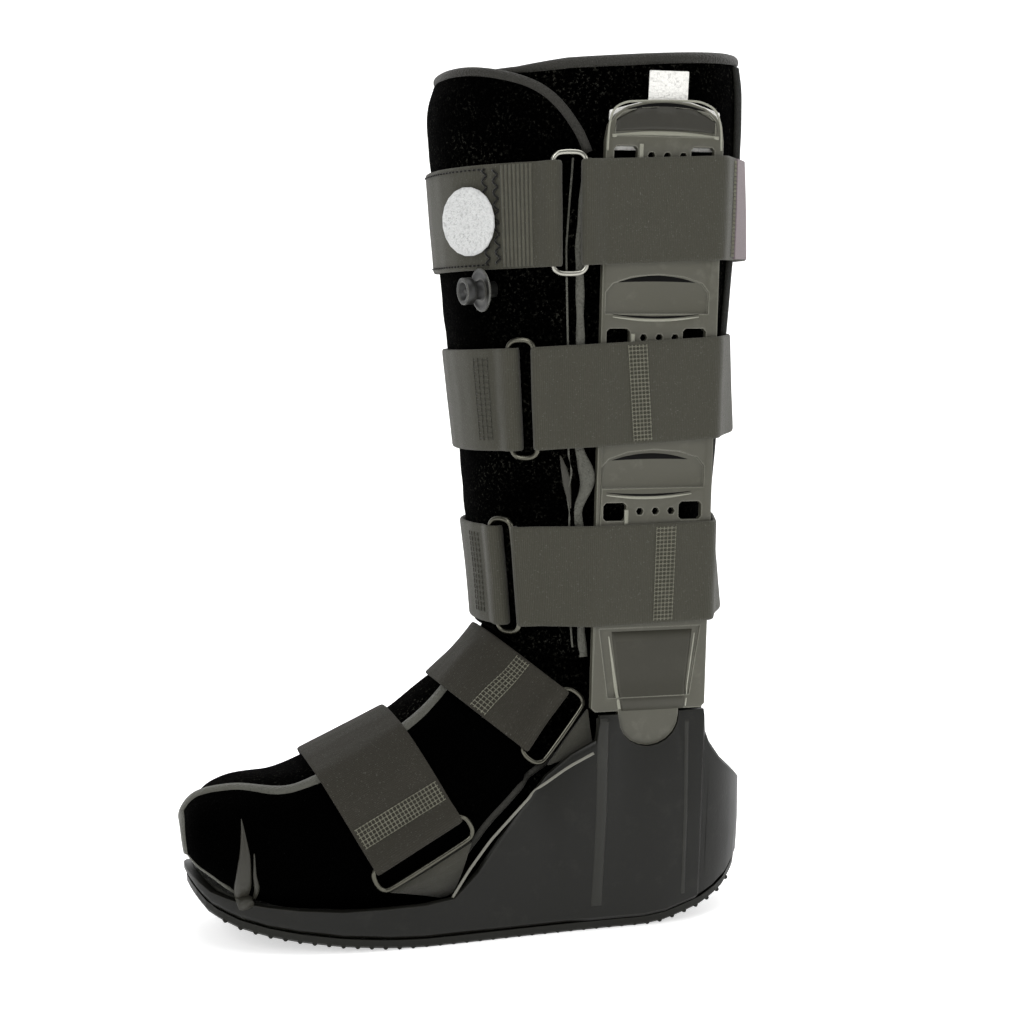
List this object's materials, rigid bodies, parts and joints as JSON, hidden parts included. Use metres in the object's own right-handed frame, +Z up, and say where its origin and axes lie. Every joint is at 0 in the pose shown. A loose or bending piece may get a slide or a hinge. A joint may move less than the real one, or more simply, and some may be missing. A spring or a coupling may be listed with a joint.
{
  "type": "walking boot",
  "caption": "Tall medical walking boot: padded liner in a rocker-soled shell with two side struts, calf and foot straps, wire rings, pump button and valve.",
  "frame": {"origin": "under the middle of the bounding box, on the floor", "axes": "+Z up the leg, -X toward the toe, -Y the side with the rings and the pump button"},
  "size_m": [0.291, 0.1326, 0.4339],
  "materials": {
    "shell": "satin moulded",
    "rubber": "matte",
    "foam": "matte foam",
    "strut": "satin moulded",
    "hook": "hook pad",
    "pile": "brushed pile",
    "webbing": "woven",
    "steel": "polished wire",
    "button": "satin",
    "valve": "satin"
  },
  "bodies": {
    "root": {"base_shell": "shell", "outsole": "rubber", "insole": "foam", "upright_near": "strut", "upright_far": "strut", "hook_pad": "hook", "liner_toe": "pile", "liner_heel": "pile", "liner_leg": "pile", "front_panel": "pile", "foot_flap": "pile", "strap_top": "webbing", "tab_top": "webbing", "ring_top": "steel", "strap_middle": "webbing", "tab_middle": "webbing", "ring_middle": "steel", "strap_lower": "webbing", "tab_lower": "webbing", "ring_lower": "steel", "strap_ankle": "webbing", "ring_ankle": "steel", "anchor_ankle": "webbing", "anchor_ankle_far": "webbing", "strap_forefoot": "webbing", "ring_forefoot": "steel", "anchor_forefoot": "webbing", "anchor_forefoot_far": "webbing", "pump_button": "button", "inflation_valve": "valve"}
  },
  "joints": []
}
